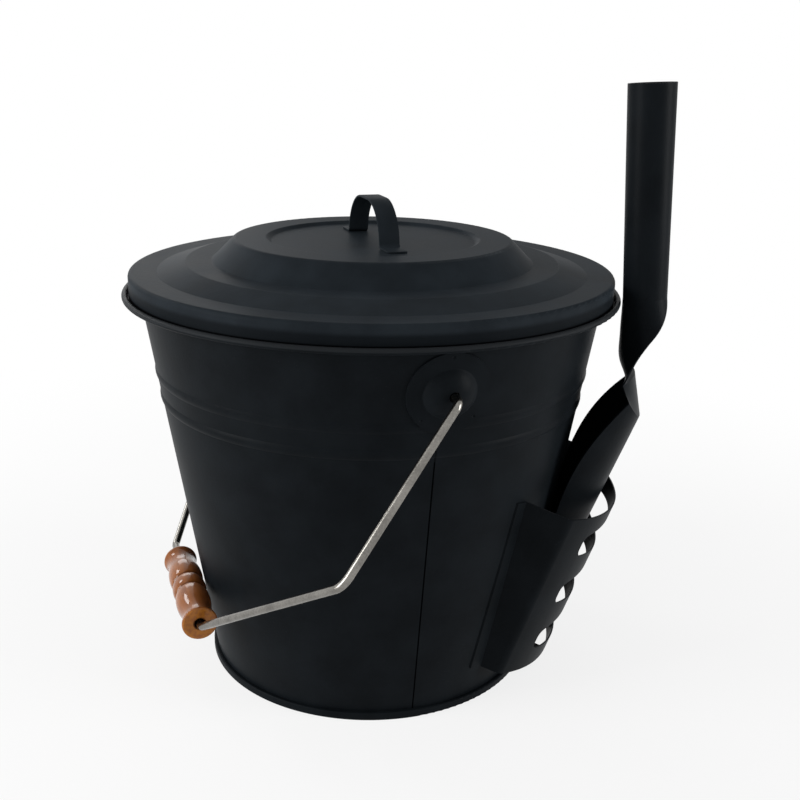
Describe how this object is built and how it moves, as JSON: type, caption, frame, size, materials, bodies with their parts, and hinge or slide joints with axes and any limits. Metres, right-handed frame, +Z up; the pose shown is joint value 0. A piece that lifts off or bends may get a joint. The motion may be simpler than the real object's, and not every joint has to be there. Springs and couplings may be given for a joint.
{
  "type": "ash bucket with shovel",
  "caption": "Tapered lidded sheet-steel ash bucket with a wire bail and turned wooden grip, and a shovel standing in a slotted holder on its side.",
  "frame": {"origin": "centre of the bucket's standing ring, on the floor", "axes": "+Z up the bucket; Y through the two bail ears, the front ear at -Y; the bail hangs on the -X side and the shovel stands on the +X side, turned towards -Y"},
  "size_m": [0.3193, 0.3462, 0.3763],
  "materials": {
    "black_coat": "satin black powder coat",
    "bail_steel": "bare drawn wire, satin",
    "rim_steel": "bare wire, hidden in the curl",
    "grip_wood": "brown varnish, gloss"
  },
  "bodies": {
    "bucket": {"bucket_wall": "black_coat", "rim_wire": "rim_steel", "bucket_bottom": "black_coat", "front_ear": "black_coat", "back_ear": "black_coat", "shovel_holder": "black_coat"},
    "bail": {"bail_wire": "bail_steel"},
    "grip": {"bail_grip": "grip_wood"},
    "lid": {"lid_shell": "black_coat", "lid_handle": "black_coat"},
    "shovel": {"shovel": "black_coat"}
  },
  "joints": [
    {"name": "bail_swing", "type": "hinge", "parent": "bucket", "child": "bail", "pos_m": [0, 0, 0.219], "axis": [0, 1, 0], "range_deg": [0, 180]},
    {"name": "grip_spin", "type": "hinge", "parent": "bail", "child": "grip", "pos_m": [-0.12463, -0.0105, 0.05623], "axis": [0, 1, 0], "continuous": true},
    {"name": "lid_lift", "type": "slide", "parent": "bucket", "child": "lid", "axis": [-0.0686, 0.038, 0.9969], "range_m": [0, 0.2]},
    {"name": "shovel_draw", "type": "slide", "parent": "bucket", "child": "shovel", "axis": [0.3063, -0.1698, 0.9367], "range_m": [0, 0.25]}
  ]
}
